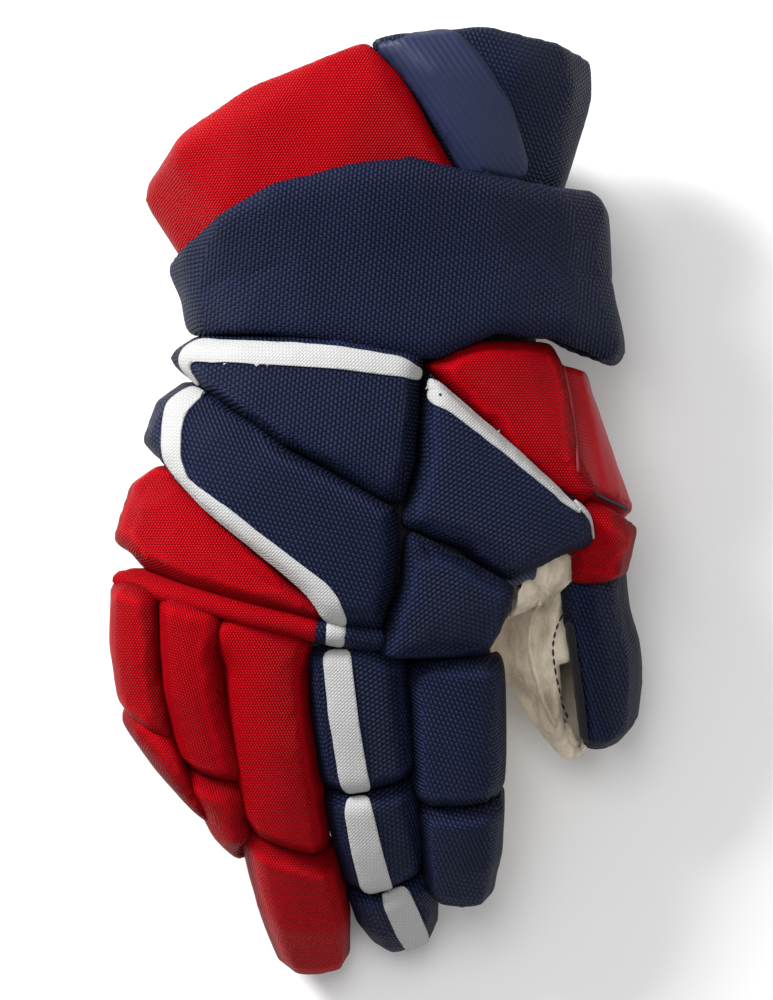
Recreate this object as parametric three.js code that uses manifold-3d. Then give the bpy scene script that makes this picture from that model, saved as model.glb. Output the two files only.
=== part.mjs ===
// An ice hockey glove for the right hand, lying palm down on a surface.
// Millimetres. While it is built, Y = 0 is the knuckle line; +X is the thumb side, +Y runs to the cuff, +Z is up.
// The finished group is moved so that its origin is the middle of the underside of its box.
import * as THREE from "three";
import { mergeVertices } from "three/addons/utils/BufferGeometryUtils.js";
import { TessellateModifier } from "three/addons/modifiers/TessellateModifier.js";
import Module from "manifold-3d";

const wasm = await Module();
wasm.setup();

// Driving dimensions of the hand and cuff: lengths along the glove, widths and depths of the inner body.
const handLength = 103; // knuckle line to wrist seam
const cuffLength = 107; // wrist seam to the cuff's edge at the back
const handWidth = 136;
const handDepth = 50;
const wristWidth = 114;
const wristDepth = 66;
const cuffWidth = 140;
const cuffDepth = 80;
const knuckleHeight = 60; // middle of the fingers' roots above the surface
const palmWall = 3; // leather and its backing

// Driving dimensions of the digits.
const fingerWidth = 26;
const pinkyWidth = 20;
const fingerDepth = 24;
const indexLength = 116;
const middleLength = 140;
const ringLength = 149;
const pinkyLength = 112;
const thumbLength = 126;
const thumbWidth = 38;
const thumbDepth = 26;
const thumbRoll = THREE.MathUtils.degToRad(70); // the thumb's back faces outwards and up

// Driving dimensions of the padding.
const padThickness = 14; // rolls on the back of the hand
const padBevel = 7;
const padBevelRise = 5;
const padSink = 8; // how far a roll's blank reaches below the surface that it is then cut to
const fingerPadThickness = 12;
const sideRollWidth = 18; // the extra roll along the outside of the little finger
const thumbPadThickness = 10;
const cuffPadThickness = 13;
const bandThickness = 7;
const bandSlack = 11; // how far the wrist band stands off on the thumb side
const knuckleRollWidth = 6;
const knuckleRollHeight = 11;
const stripeThickness = 1;
const stripWidth = 24; // smooth strip beside the cuff's seam
const bindingWidth = 6; // cord along the web of the thumb
const seamGap = 0.9; // groove between neighbouring pads
const fitGap = 0.4; // clearance between pieces that touch

// Sizes of the mesh.
const bodySides = 20;
const digitSides = 10;
const hollowSides = 6;
const padFacet = 22;

const lerp = THREE.MathUtils.lerp;
const turn = THREE.MathUtils.degToRad;

// The inner body's sections. y: place along the glove. centre: sideways. half: half width. mid: middle height.
// top, bottom: half depths. sides: how much thicker the padding is at the sides than on top.
const cuffSettling = 5; // how far the cuff's soft underside is pressed flat
const cuffMid = cuffDepth / 2 + cuffPadThickness - cuffSettling;
const bodySections = [
  {
    y: -0.06 * handLength,
    centre: -0.17 * handWidth,
    half: 0.41 * handWidth,
    mid: knuckleHeight,
    top: 0.32 * handDepth,
    bottom: 0.32 * handDepth,
    sides: 1.5,
  },
  {
    y: 0,
    centre: -0.15 * handWidth,
    half: 0.43 * handWidth,
    mid: knuckleHeight,
    top: 0.36 * handDepth,
    bottom: 0.34 * handDepth,
    sides: 1.5,
  },
  {
    y: 0.17 * handLength,
    centre: -0.04 * handWidth,
    half: 0.555 * handWidth,
    mid: 0.98 * knuckleHeight,
    top: 0.43 * handDepth,
    bottom: 0.4 * handDepth,
    sides: 1.5,
  },
  {
    y: 0.4 * handLength,
    centre: -0.02 * handWidth,
    half: 0.56 * handWidth,
    mid: 0.96 * knuckleHeight,
    top: 0.51 * handDepth,
    bottom: 0.48 * handDepth,
    sides: 1.5,
  },
  {
    y: 0.62 * handLength,
    centre: -0.015 * handWidth,
    half: 0.501 * handWidth,
    mid: 0.94 * knuckleHeight,
    top: 0.57 * handDepth,
    bottom: 0.54 * handDepth,
    sides: 1.45,
  },
  {
    y: handLength,
    centre: -0.012 * handWidth,
    half: wristWidth / 2,
    mid: cuffMid,
    top: wristDepth / 2,
    bottom: wristDepth / 2,
    sides: 1.3,
  },
  {
    y: handLength + 0.33 * cuffLength,
    centre: -0.044 * handWidth,
    half: 0.5 * wristWidth,
    mid: cuffMid,
    top: 0.45 * cuffDepth,
    bottom: 0.46 * cuffDepth,
    sides: 1.1,
  },
  {
    y: handLength + 0.55 * cuffLength,
    centre: -0.106 * handWidth,
    half: 0.46 * cuffWidth,
    mid: cuffMid,
    top: 0.47 * cuffDepth,
    bottom: 0.48 * cuffDepth,
    sides: 1,
  },
  {
    y: handLength + cuffLength,
    centre: -0.011 * handWidth,
    half: cuffWidth / 2,
    mid: cuffMid,
    top: cuffDepth / 2,
    bottom: cuffDepth / 2,
    sides: 1,
  },
];

// The cuff's edge seen from above. side: share of the way from the middle to the side.
// reach: share of the cuff's length.
const cuffEdge = [
  { side: -1.2, reach: 0.5 },
  { side: -1, reach: 0.57 },
  { side: -0.87, reach: 0.73 },
  { side: -0.54, reach: 0.89 },
  { side: -0.08, reach: 1.01 },
  { side: 0.25, reach: 1.07 },
  { side: 0.65, reach: 1.07 },
  { side: 0.96, reach: 0.99 },
  { side: 1.2, reach: 0.92 },
];
const cuffPalmShortening = 0.3; // share of the cuff's length that is missing on the palm side

// A row between two rows of a table, blended by the value of one column.
function rowAt(table, column, value) {
  const last = table.length - 1;
  if (value <= table[0][column]) return table[0];
  if (value >= table[last][column]) return table[last];
  const i = table.findIndex((row) => row[column] >= value) - 1;
  const share = (value - table[i][column]) / (table[i + 1][column] - table[i][column]);
  const blend = (key) => [key, lerp(table[i][key], table[i + 1][key], share)];
  return Object.fromEntries(Object.keys(table[i]).map(blend));
}

// A closed solid's geometry from shared points and triangles, turned so that its faces point out.
function closedGeometry(points, triangles) {
  let volume = 0;
  for (const [a, b, c] of triangles) {
    volume += points[a].dot(points[b].clone().cross(points[c]));
  }
  const facing = volume < 0 ? triangles.map(([a, b, c]) => [a, c, b]) : triangles;
  const geometry = new THREE.BufferGeometry().setFromPoints(points);
  geometry.setIndex(facing.flat());
  return geometry;
}

function solid(geometry) {
  const bare = new THREE.BufferGeometry();
  bare.setAttribute("position", geometry.getAttribute("position"));
  bare.setIndex(geometry.index);
  const merged = mergeVertices(bare, 1e-4);
  return new wasm.Manifold(
    new wasm.Mesh({
      numProp: 3,
      vertProperties: new Float32Array(merged.attributes.position.array),
      triVerts: new Uint32Array(merged.index.array),
    }),
  );
}

// The largest body of a solid, as a geometry. Cuts can leave crumbs.
function geometryOf(made) {
  const bodies = made.decompose().sort((a, b) => b.volume() - a.volume());
  const mesh = bodies[0].getMesh();
  const geometry = new THREE.BufferGeometry();
  geometry.setAttribute("position", new THREE.Float32BufferAttribute(mesh.vertProperties, 3));
  geometry.setIndex(Array.from(mesh.triVerts));
  return geometry;
}

// Two triangles over four corners.
function quad(triangles, a, b, c, d) {
  triangles.push([a, b, c], [a, c, d]);
}

// A solid through rings of as many points each, with a flat fan over each end.
function loft(rings) {
  const count = rings[0].length;
  const points = rings.flat();
  const triangles = [];
  for (let r = 0; r < rings.length - 1; r++) {
    for (let i = 0; i < count; i++) {
      const a = r * count + i;
      const b = r * count + ((i + 1) % count);
      quad(triangles, a, b, b + count, a + count);
    }
  }
  for (const end of [0, rings.length - 1]) {
    const centre = points.length;
    const sum = rings[end].reduce((total, point) => total.add(point), new THREE.Vector3());
    points.push(sum.divideScalar(count));
    for (let i = 0; i < count; i++) {
      const a = end * count + i;
      const b = end * count + ((i + 1) % count);
      triangles.push(end === 0 ? [centre, b, a] : [centre, a, b]);
    }
  }
  return solid(closedGeometry(points, triangles));
}

// A curved slab between two grids of points: upper(row, column) and lower(row, column).
function slab(rows, columns, upper, lower) {
  const points = [];
  for (const surface of [upper, lower]) {
    for (let row = 0; row < rows; row++) {
      for (let column = 0; column < columns; column++) points.push(surface(row, column));
    }
  }
  const at = (side, row, column) => (side * rows + row) * columns + column;
  const triangles = [];
  for (let row = 0; row < rows - 1; row++) {
    const next = row + 1;
    for (let column = 0; column < columns - 1; column++) {
      quad(triangles, at(0, row, column), at(0, row, column + 1), at(0, next, column + 1), at(0, next, column));
      quad(triangles, at(1, row, column), at(1, next, column), at(1, next, column + 1), at(1, row, column + 1));
    }
    const end = columns - 1;
    quad(triangles, at(0, row, 0), at(0, next, 0), at(1, next, 0), at(1, row, 0));
    quad(triangles, at(0, row, end), at(1, row, end), at(1, next, end), at(0, next, end));
  }
  for (let column = 0; column < columns - 1; column++) {
    const next = column + 1;
    const end = rows - 1;
    quad(triangles, at(0, 0, column), at(1, 0, column), at(1, 0, next), at(0, 0, next));
    quad(triangles, at(0, end, column), at(0, end, next), at(1, end, next), at(1, end, column));
  }
  return solid(closedGeometry(points, triangles));
}

// The body's section at y, and the point at an angle round it from the top, lifted off the surface.
function sectionAt(y) {
  return rowAt(bodySections, "y", y);
}

function onBody(angle, y, lift) {
  const section = sectionAt(y);
  const depth = Math.cos(angle) > 0 ? section.top : section.bottom;
  const sideLift = lift > 0 ? lift * section.sides : lift;
  return new THREE.Vector3(
    section.centre + (section.half + sideLift) * Math.sin(angle),
    y,
    section.mid + (depth + lift) * Math.cos(angle),
  );
}

// The angle of the point on the rolls' outer surface that lies over a place seen from above.
// Beyond the last part of the slope it runs on evenly, round the side.
function angleOver(x, y) {
  const section = sectionAt(y);
  const share = (x - section.centre) / (section.half + section.sides * padThickness);
  const steepest = 0.88;
  const slope = 1 / Math.sqrt(1 - steepest * steepest);
  const beyond = Math.max(0, Math.abs(share) - steepest) * slope;
  return Math.sign(share) * (Math.asin(Math.min(Math.abs(share), steepest)) + beyond);
}

function onBack(x, y, lift) {
  return onBody(angleOver(x, y), y, lift);
}

// Where the cuff ends at an angle round it.
function cuffEnd(angle) {
  const palmShare = Math.max(0, -Math.cos(angle));
  const { reach } = rowAt(cuffEdge, "side", Math.sin(angle));
  return handLength + cuffLength * reach * (1 - cuffPalmShortening * palmShare);
}

// The fingers. across: root's place as a share of the hand's width. turnRoot, turnTip: heading from straight ahead,
// in degrees towards the thumb. curl: how strongly it bends down.
const rootDepth = 0.13 * handLength; // how far a finger starts inside the body
const digits = {
  index: { across: 0.19, length: indexLength, half: fingerWidth / 2, turnRoot: 1, turnTip: 1, curl: 1 },
  middle: { across: -0.098, length: middleLength, half: fingerWidth / 2, turnRoot: 2, turnTip: 18, curl: 1.36 },
  ring: { across: -0.335, length: ringLength, half: fingerWidth / 2, turnRoot: 2, turnTip: 15, curl: 1.25 },
  pinky: { across: -0.518, length: pinkyLength, half: pinkyWidth / 2, turnRoot: -5, turnTip: 42, curl: 1.05 },
};

// A finger's bend. at: share of its length. pitch: degrees below the horizontal.
const fingerBend = [
  { at: 0, pitch: 3 },
  { at: 0.35, pitch: 11 },
  { at: 0.65, pitch: 25 },
  { at: 1, pitch: 40 },
];

// A finger's section. at: share of its length. girth: share of its half width and depths.
const digitGirth = [
  { at: 0, girth: 1 },
  { at: 0.33, girth: 1 },
  { at: 0.64, girth: 0.99 },
  { at: 0.92, girth: 0.86 },
  { at: 1, girth: 0.55 },
];

// The frame of a finger at a distance along it: where it is, and its directions along, across and up.
function fingerFrame(finger, distance) {
  const steps = 24;
  const origin = new THREE.Vector3(finger.across * handWidth, rootDepth, knuckleHeight);
  const along = new THREE.Vector3();
  for (let i = 0; i <= steps; i++) {
    const share = (distance * i) / steps / finger.length;
    const heading = turn(lerp(finger.turnRoot, finger.turnTip, share));
    const pitch = turn(rowAt(fingerBend, "at", share).pitch * finger.curl);
    along.set(Math.sin(heading) * Math.cos(pitch), -Math.cos(heading) * Math.cos(pitch), -Math.sin(pitch));
    if (i < steps) origin.addScaledVector(along, distance / steps);
  }
  const across = new THREE.Vector3(-along.y, along.x, 0).normalize();
  const up = along.clone().cross(across);
  if (up.z < 0) up.negate();
  return { origin, along, across, up };
}

function fingerSize(finger, share) {
  const { girth } = rowAt(digitGirth, "at", share);
  return { half: finger.half * girth, top: (fingerDepth / 2) * girth, bottom: (fingerDepth / 2) * girth };
}

// The thumb's path and sections. at: share of its length, measured down the glove from its root.
// across: share of the hand's width. height: share of the knuckles' height.
// half: share of the thumb's half width. back, palm: shares of its half depth to either side.
const thumbRootY = 0.76 * handLength;
const thumbSections = [
  { at: 0, across: 0.32, height: 0.76, half: 0.8, back: 0.9, palm: 1.1 },
  { at: 0.25, across: 0.405, height: 0.7, half: 0.95, back: 1.15, palm: 1.5 },
  { at: 0.5, across: 0.462, height: 0.64, half: 1, back: 1.15, palm: 1.9 },
  { at: 0.68, across: 0.491, height: 0.56, half: 1, back: 1.1, palm: 2.2 },
  { at: 0.8, across: 0.51, height: 0.5, half: 0.97, back: 1.02, palm: 1.65 },
  { at: 0.9, across: 0.524, height: 0.45, half: 0.85, back: 0.9, palm: 1.1 },
  { at: 1, across: 0.537, height: 0.4, half: 0.5, back: 0.6, palm: 0.55 },
];

function thumbPoint(share) {
  const { across, height } = rowAt(thumbSections, "at", share);
  return new THREE.Vector3(across * handWidth, thumbRootY - share * thumbLength, height * knuckleHeight);
}

function thumbFrame(share) {
  const step = 0.05;
  const before = thumbPoint(Math.min(share, 1) - step);
  const along = thumbPoint(Math.min(share, 1) + step).sub(before).normalize();
  const level = new THREE.Vector3(-along.y, along.x, 0).normalize();
  const rise = along.clone().cross(level);
  if (rise.z < 0) rise.negate();
  const across = level.clone().multiplyScalar(Math.cos(thumbRoll)).addScaledVector(rise, -Math.sin(thumbRoll));
  const up = level.clone().multiplyScalar(Math.sin(thumbRoll)).addScaledVector(rise, Math.cos(thumbRoll));
  return { origin: thumbPoint(share), along, across, up };
}

function thumbSize(share) {
  const { half, back, palm } = rowAt(thumbSections, "at", share);
  return { half: (half * thumbWidth) / 2, top: (back * thumbDepth) / 2, bottom: (palm * thumbDepth) / 2 };
}

function place(frame, across, up) {
  return frame.origin.clone().addScaledVector(frame.across, across).addScaledVector(frame.up, up);
}

// An oval ring round a frame. grow makes it larger, or smaller where negative.
function oval(frame, size, grow, sides) {
  return Array.from({ length: sides }, (_, i) => {
    const angle = (i / sides) * 2 * Math.PI;
    const depth = Math.cos(angle) > 0 ? size.top : size.bottom;
    return place(frame, (size.half + grow) * Math.sin(angle), (depth + grow) * Math.cos(angle));
  });
}

// The outer form of each part of the inner glove, grown or shrunk, as closed solids.
function bodyForm(grow, from, to, sides = bodySides) {
  const inside = bodySections.map((row) => row.y).filter((y) => y > from && y < to);
  const rings = [from, ...inside, to].map((y) =>
    Array.from({ length: sides }, (_, i) => onBody((i / sides) * 2 * Math.PI, y, grow)),
  );
  return loft(rings);
}

function fingerForm(finger, grow, sides = digitSides) {
  const rings = digitGirth.map(({ at }) => {
    const frame = fingerFrame(finger, at * (finger.length + grow));
    return oval(frame, fingerSize(finger, at), grow, sides);
  });
  return loft(rings);
}

function thumbForm(grow, sides = digitSides) {
  const rings = thumbSections.map(({ at }) => {
    return oval(thumbFrame(at * (1 + grow / thumbLength)), thumbSize(at), grow, sides);
  });
  return loft(rings);
}

function handForm(grow, from, to, sides) {
  const fingers = Object.values(digits).map((finger) => fingerForm(finger, grow, sides));
  const parts = [...fingers, thumbForm(grow, sides)];
  return parts.reduce((whole, part) => whole.add(part), bodyForm(grow, from, to));
}

// The region below the parting line between the palm's leather and the lining of the back. The line rises over the
// web of the thumb.
const webStart = 0.33; // share of the hand's width
const webRise = 0.8 * handDepth;
function palmRegion(shift) {
  const wide = 2 * handWidth;
  const deep = 2 * knuckleHeight;
  const rows = [{ ...bodySections[0], y: bodySections[0].y - 2 * palmWall }, ...bodySections];
  const bodyRings = rows.map(({ y, mid }) => {
    const web = y < 0.3 * handLength ? webRise : 0;
    return [
      new THREE.Vector3(-wide, y, mid + shift),
      new THREE.Vector3(webStart * handWidth - shift, y, mid + shift),
      new THREE.Vector3(webStart * handWidth - shift + 0.2 * web, y, mid + shift + web),
      new THREE.Vector3(wide, y, mid + shift + web),
      new THREE.Vector3(wide, y, -deep),
      new THREE.Vector3(-wide, y, -deep),
    ];
  });
  const below = (frame, size) => [
    place(frame, -size.half - palmWall - shift, shift),
    place(frame, size.half + palmWall + shift, shift),
    place(frame, size.half + palmWall + shift, -size.bottom - palmWall),
    place(frame, -size.half - palmWall - shift, -size.bottom - palmWall),
  ];
  const fingerRows = [{ at: 0, end: -1 }, ...digitGirth.slice(1), { at: 1.05, end: 1 }];
  const fingerRegions = Object.values(digits).map((finger) =>
    loft(
      fingerRows.map(({ at, end = 0 }) =>
        below(fingerFrame(finger, at * finger.length + end * shift), fingerSize(finger, 0)),
      ),
    ),
  );
  const thumbRows = [0.45 - shift / thumbLength, 0.68, 0.8, 0.9, 1.05];
  const thumbRegion = loft(thumbRows.map((share) => below(thumbFrame(share), thumbSize(Math.min(share, 0.8)))));
  return [...fingerRegions, thumbRegion].reduce((whole, part) => whole.add(part), loft(bodyRings));
}

const floorBlock = (() => {
  const block = new THREE.BoxGeometry(8 * handWidth, 12 * handLength, handLength);
  block.translate(0, 0, -handLength / 2);
  return solid(block);
})();

// What every pad keeps clear of.
const knuckleEnd = bodySections[0].y;
const cuffTip = handLength + 1.1 * cuffLength;
const keepClear = handForm(fitGap, knuckleEnd - fitGap, cuffTip);

// Materials.
const cloth = (color, roughness) => new THREE.MeshStandardMaterial({ color, roughness, metalness: 0 });
const navyCloth = cloth(0x1d2547, 0.8);
const redCloth = cloth(0xb8101f, 0.7);
const whiteCloth = cloth(0xe6e6e4, 0.7);
const palmLeather = cloth(0xcdb896, 0.9);
const blackLining = cloth(0x121214, 0.95);
const smoothNavy = cloth(0x1c2448, 0.45);
const smoothRed = cloth(0xb0081c, 0.4);
const navyCord = cloth(0x20294c, 0.7);

const glove = new THREE.Group();

function addPiece(name, material, made) {
  const mesh = new THREE.Mesh(geometryOf(made.subtract(floorBlock)), material);
  mesh.name = name;
  glove.add(mesh);
}

// Forms that later pads are cut back from.
const placed = [];

function cutBack(made) {
  const touching = placed.filter((form) => made.intersect(form).volume() > 1e-3);
  return touching.reduce((left, form) => left.subtract(form), made);
}

// Adds a pad made by form(grow), with any strips of cloth that lie on it, clear of what is already there.
function addPad(name, material, form, strips = []) {
  const pad = cutBack(form(0).subtract(keepClear));
  addPiece(name, material, pad);
  const laid = strips.map((strip) => ({ name: strip.name, made: cutBack(strip.made.subtract(pad)) }));
  for (const strip of laid) addPiece(strip.name, whiteCloth, strip.made);
  placed.push([pad, ...laid.map((strip) => strip.made)].reduce((whole, part) => whole.add(part), form(seamGap)));
}

// Inner glove: the palm's leather, the lining of the back and fingers, and the lining of the cuff.
const handHollow = handForm(-palmWall, knuckleEnd + palmWall, handLength + palmWall, hollowSides);
const handShell = handForm(0, knuckleEnd, handLength - fitGap / 2).subtract(handHollow);
addPiece("palm_leather", palmLeather, handShell.intersect(palmRegion(-fitGap / 2)));
addPiece("back_lining", blackLining, handShell.subtract(palmRegion(fitGap / 2)));

function cuffRing(lift, shares) {
  const ring = (share) =>
    Array.from({ length: bodySides }, (_, i) => {
      const angle = (i / bodySides) * 2 * Math.PI;
      return onBody(angle, lerp(handLength + fitGap / 2, cuffEnd(angle) - padBevel / 2, share), lift);
    });
  return loft(shares.map(ring));
}
const cuffHollow = cuffRing(-palmWall, [-0.1, 0, 0.33, 0.6, 1, 1.2]);
addPiece("cuff_lining", blackLining, cuffRing(0, [0, 0.33, 0.6, 1]).subtract(cuffHollow));

// The cuff's padded panels. Angles are from the top line, in degrees towards the thumb.
// The seam between the red and the navy panel runs down towards the thumb side. along: share from wrist to edge.
const cuffSeam = [
  { along: 0, angle: 75 },
  { along: 0.25, angle: 57 },
  { along: 0.6, angle: 30 },
  { along: 1, angle: -4 },
];
const redCuffStart = -118;
const navyCuffEnd = 116;

// Along a panel. along: share from wrist to edge. swell: share of its thickness; it is thin under the wrist band.
const cuffRows = [
  { along: 0.035, swell: 0.5 },
  { along: 0.35, swell: 0.62 },
  { along: 0.52, swell: 1 },
  { along: 0.86, swell: 1 },
  { along: 1, swell: 0.6 },
];
// Across a panel. at: share of its width. swell: share of its thickness.
const cuffColumns = [
  { at: 0, swell: 0.5 },
  { at: 0.05, swell: 0.96 },
  { at: 0.28, swell: 1 },
  { at: 0.5, swell: 1 },
  { at: 0.72, swell: 1 },
  { at: 0.95, swell: 0.96 },
  { at: 1, swell: 0.5 },
];
const seamAngle = (along) => turn(rowAt(cuffSeam, "along", along).angle);
const grooveAngle = seamGap / (cuffWidth / 2);

// angles(along) gives the panel's left and right edge. grow makes it thicker. reach shortens it.
function cuffPanel(angles, { grow = 0, reach = 1 } = {}) {
  const face = (outer) => (row, column) => {
    const { along, swell } = cuffRows[row];
    const { at, swell: swellAcross } = cuffColumns[column];
    const [left, right] = angles(along);
    const angle = lerp(left, right, at);
    const lift = outer ? cuffPadThickness * Math.min(swell, swellAcross) + grow : fitGap;
    return onBody(angle, lerp(handLength, cuffEnd(angle), along * reach), lift);
  };
  return slab(cuffRows.length, cuffColumns.length, face(true), face(false));
}
const cuffClear = cuffRing(fitGap, [-0.1, 0, 0.33, 0.6, 1, 1.2]);
const redPanelEdges = (along) => [turn(redCuffStart), seamAngle(along) - grooveAngle / 2];
const navyPanelEdges = (along) => [seamAngle(along) + grooveAngle / 2, turn(navyCuffEnd)];
const palmPanelEdges = () => [turn(navyCuffEnd) + grooveAngle, 2 * Math.PI + turn(redCuffStart) - grooveAngle];
const cuffPanels = [
  { name: "cuff_panel_red", material: redCloth, edges: redPanelEdges },
  { name: "cuff_panel_navy", material: navyCloth, edges: navyPanelEdges },
  { name: "cuff_panel_palm", material: navyCloth, edges: palmPanelEdges, reach: 0.92 },
];
for (const { name, material, edges, reach } of cuffPanels) {
  addPiece(name, material, cuffPanel(edges, { reach }).subtract(cuffClear));
}

// The smooth strip on the navy panel, beside the seam.
const stripRows = [0.55, 0.7, 0.86, 0.97];
function smoothStrip(lift) {
  const columns = 4;
  return (row, column) => {
    const along = stripRows[row];
    const angle = seamAngle(along) + grooveAngle + (stripWidth * column) / (columns - 1) / (cuffWidth / 2);
    return onBody(angle, lerp(handLength, cuffEnd(angle), along), lift);
  };
}
const stripHigh = slab(stripRows.length, 4, smoothStrip(1.5 * cuffPadThickness), smoothStrip(0));
const stripSkin = cuffPanel(navyPanelEdges, { grow: fitGap + stripeThickness });
const stripUnder = cuffPanel(navyPanelEdges, { grow: fitGap });
addPiece("cuff_smooth_strip", smoothNavy, stripHigh.intersect(stripSkin).subtract(stripUnder));

// The wrist band. angle: degrees from the top line. low, high: its edges, as shares of the cuff's length from the
// wrist. swell: share of its thickness. off: share of its slack.
const bandRows = [
  { angle: -126, low: 0.08, high: 0.24, swell: 0.5, off: 0 },
  { angle: -105, low: 0.05, high: 0.25, swell: 0.5, off: 0 },
  { angle: -86, low: 0.035, high: 0.29, swell: 0.5, off: 0 },
  { angle: -63, low: 0.03, high: 0.35, swell: 0.7, off: 0 },
  { angle: -40, low: 0.03, high: 0.44, swell: 1, off: 0 },
  { angle: -20, low: 0.01, high: 0.54, swell: 1, off: 0 },
  { angle: 2, low: -0.04, high: 0.61, swell: 1, off: 0 },
  { angle: 15, low: -0.06, high: 0.63, swell: 1, off: 0.1 },
  { angle: 35, low: 0.03, high: 0.58, swell: 1, off: 0.3 },
  { angle: 56, low: 0.01, high: 0.54, swell: 1, off: 0.7 },
  { angle: 76, low: -0.05, high: 0.53, swell: 1, off: 1 },
  { angle: 96, low: -0.07, high: 0.5, swell: 1, off: 1 },
  { angle: 114, low: -0.02, high: 0.46, swell: 0.8, off: 0.5 },
  { angle: 128, low: 0.06, high: 0.42, swell: 0.5, off: 0.1 },
];
// Across the band. at: share of its width. swell: share of its thickness.
const bandColumns = [
  { at: 0, swell: 0.4 },
  { at: 0.09, swell: 0.97 },
  { at: 0.5, swell: 1 },
  { at: 0.91, swell: 0.97 },
  { at: 1, swell: 0.4 },
];
function bandForm(grow) {
  const face = (outer) => (row, column) => {
    const { angle, low, high, swell, off } = bandRows[row];
    const { at, swell: swellAcross } = bandColumns[column];
    const y = handLength + cuffLength * lerp(low, high, at) + (2 * at - 1) * grow;
    const padShare = rowAt(cuffRows, "along", (y - handLength) / (cuffEnd(turn(angle)) - handLength)).swell;
    const inner = cuffPadThickness * padShare + 2 * fitGap + off * bandSlack;
    return onBody(turn(angle), y, inner + (outer ? bandThickness * swell * swellAcross + grow : -grow));
  };
  return slab(bandRows.length, bandColumns.length, face(true), face(false));
}
const panelsClear = cuffPanels
  .map(({ edges, reach }) => cuffPanel(edges, { grow: fitGap, reach }))
  .reduce((whole, part) => whole.add(part));
const band = bandForm(0).subtract(panelsClear).subtract(keepClear).subtract(cuffClear);
addPiece("wrist_band", navyCloth, band);
placed.push(bandForm(fitGap));

// A roll on the back of the hand, from its outline as seen from above. across: share of the hand's width.
// along: share of the hand's length from the knuckles.
function flatOutline(rows) {
  return rows.map(({ across, along }) => new THREE.Vector2(across * handWidth, along * handLength));
}

// How far an outline reaches across itself from a corner, in a direction.
function roomAcross(outline, corner, direction) {
  let room = Infinity;
  outline.forEach((start, i) => {
    const edge = outline[(i + 1) % outline.length].clone().sub(start);
    const spread = direction.cross(edge);
    const gap = start.clone().sub(corner);
    const distance = gap.cross(edge) / spread;
    const share = gap.cross(direction) / spread;
    if (distance > 1e-6 && share >= 0 && share <= 1) room = Math.min(room, distance);
  });
  return room;
}

// The outline moved inwards by a width, corner by corner, less where it is narrow or its corner is sharp.
function inset(outline, width) {
  const count = outline.length;
  const inward = Math.sign(THREE.ShapeUtils.area(outline));
  return outline.map((corner, i) => {
    const before = corner.clone().sub(outline[(i + count - 1) % count]).normalize();
    const after = outline[(i + 1) % count].clone().sub(corner).normalize();
    const normal = new THREE.Vector2(-before.y - after.y, before.x + after.x).normalize();
    const lean = normal.dot(new THREE.Vector2(-before.y, before.x));
    normal.multiplyScalar(inward);
    const room = width > 0 ? 0.36 * roomAcross(outline, corner, normal) : Infinity;
    const reach = Math.sign(width) * Math.min(Math.abs(width / lean), 1.3 * Math.abs(width), room);
    return corner.clone().addScaledVector(normal, reach);
  });
}

// A flat block over an outline, with a sloping edge. low, high: its faces. bevel, rise: the slope's width and height.
function flatBlock(outline, low, high, bevel, rise) {
  const layers = [
    { ring: outline, height: low },
    { ring: outline, height: high - rise },
    { ring: inset(outline, bevel), height: high },
  ];
  const points = layers.flatMap(({ ring, height }) => ring.map(({ x, y }) => new THREE.Vector3(x, y, height)));
  const count = outline.length;
  const triangles = [];
  for (let layer = 0; layer < layers.length - 1; layer++) {
    for (let i = 0; i < count; i++) {
      const a = layer * count + i;
      const b = layer * count + ((i + 1) % count);
      quad(triangles, a, b, b + count, a + count);
    }
  }
  const walkUp = THREE.ShapeUtils.area(outline) > 0;
  const cap = (shift, faceUp) => {
    for (const corners of THREE.ShapeUtils.triangulateShape(outline, [])) {
      const isUp = THREE.ShapeUtils.area(corners.map((corner) => outline[corner])) > 0;
      const [a, b, c] = corners.map((corner) => corner + shift);
      triangles.push(isUp === faceUp ? [a, b, c] : [a, c, b]);
    }
  };
  cap(0, !walkUp);
  cap((layers.length - 1) * count, walkUp);
  return solid(closedGeometry(points, triangles));
}

// Bends a flat block, drawn as seen from above, on to the back of the hand. Its height becomes the lift.
function wrapOnBack(made) {
  const fine = new TessellateModifier(padFacet, 12).modify(geometryOf(made).toNonIndexed());
  const position = fine.getAttribute("position");
  const point = new THREE.Vector3();
  for (let i = 0; i < position.count; i++) {
    point.fromBufferAttribute(position, i);
    point.copy(onBack(point.x, point.y, point.z));
    position.setXYZ(i, point.x, point.y, point.z);
  }
  const bare = new THREE.BufferGeometry();
  bare.setAttribute("position", position);
  return solid(mergeVertices(bare, 1e-3));
}

// rows: the roll's outline. stripes: name and outline of each strip of cloth on it. lift: share of the thickness.
function backRoll(name, material, rows, { stripes = [], lift = 1, bevel = padBevel } = {}) {
  const outline = flatOutline(rows);
  const blank = (grow) => {
    const high = lift * padThickness + grow;
    return flatBlock(inset(outline, -grow), -padSink, high, bevel, padBevelRise);
  };
  const strips = stripes.map((stripe) => {
    const column = flatBlock(flatOutline(stripe.rows), 0, 2 * padThickness, 0, 0.1);
    const skin = blank(fitGap + stripeThickness).intersect(column).subtract(blank(fitGap));
    return { name: stripe.name, made: wrapOnBack(skin) };
  });
  addPad(name, material, (grow) => wrapOnBack(blank(grow)), strips);
}

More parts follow.
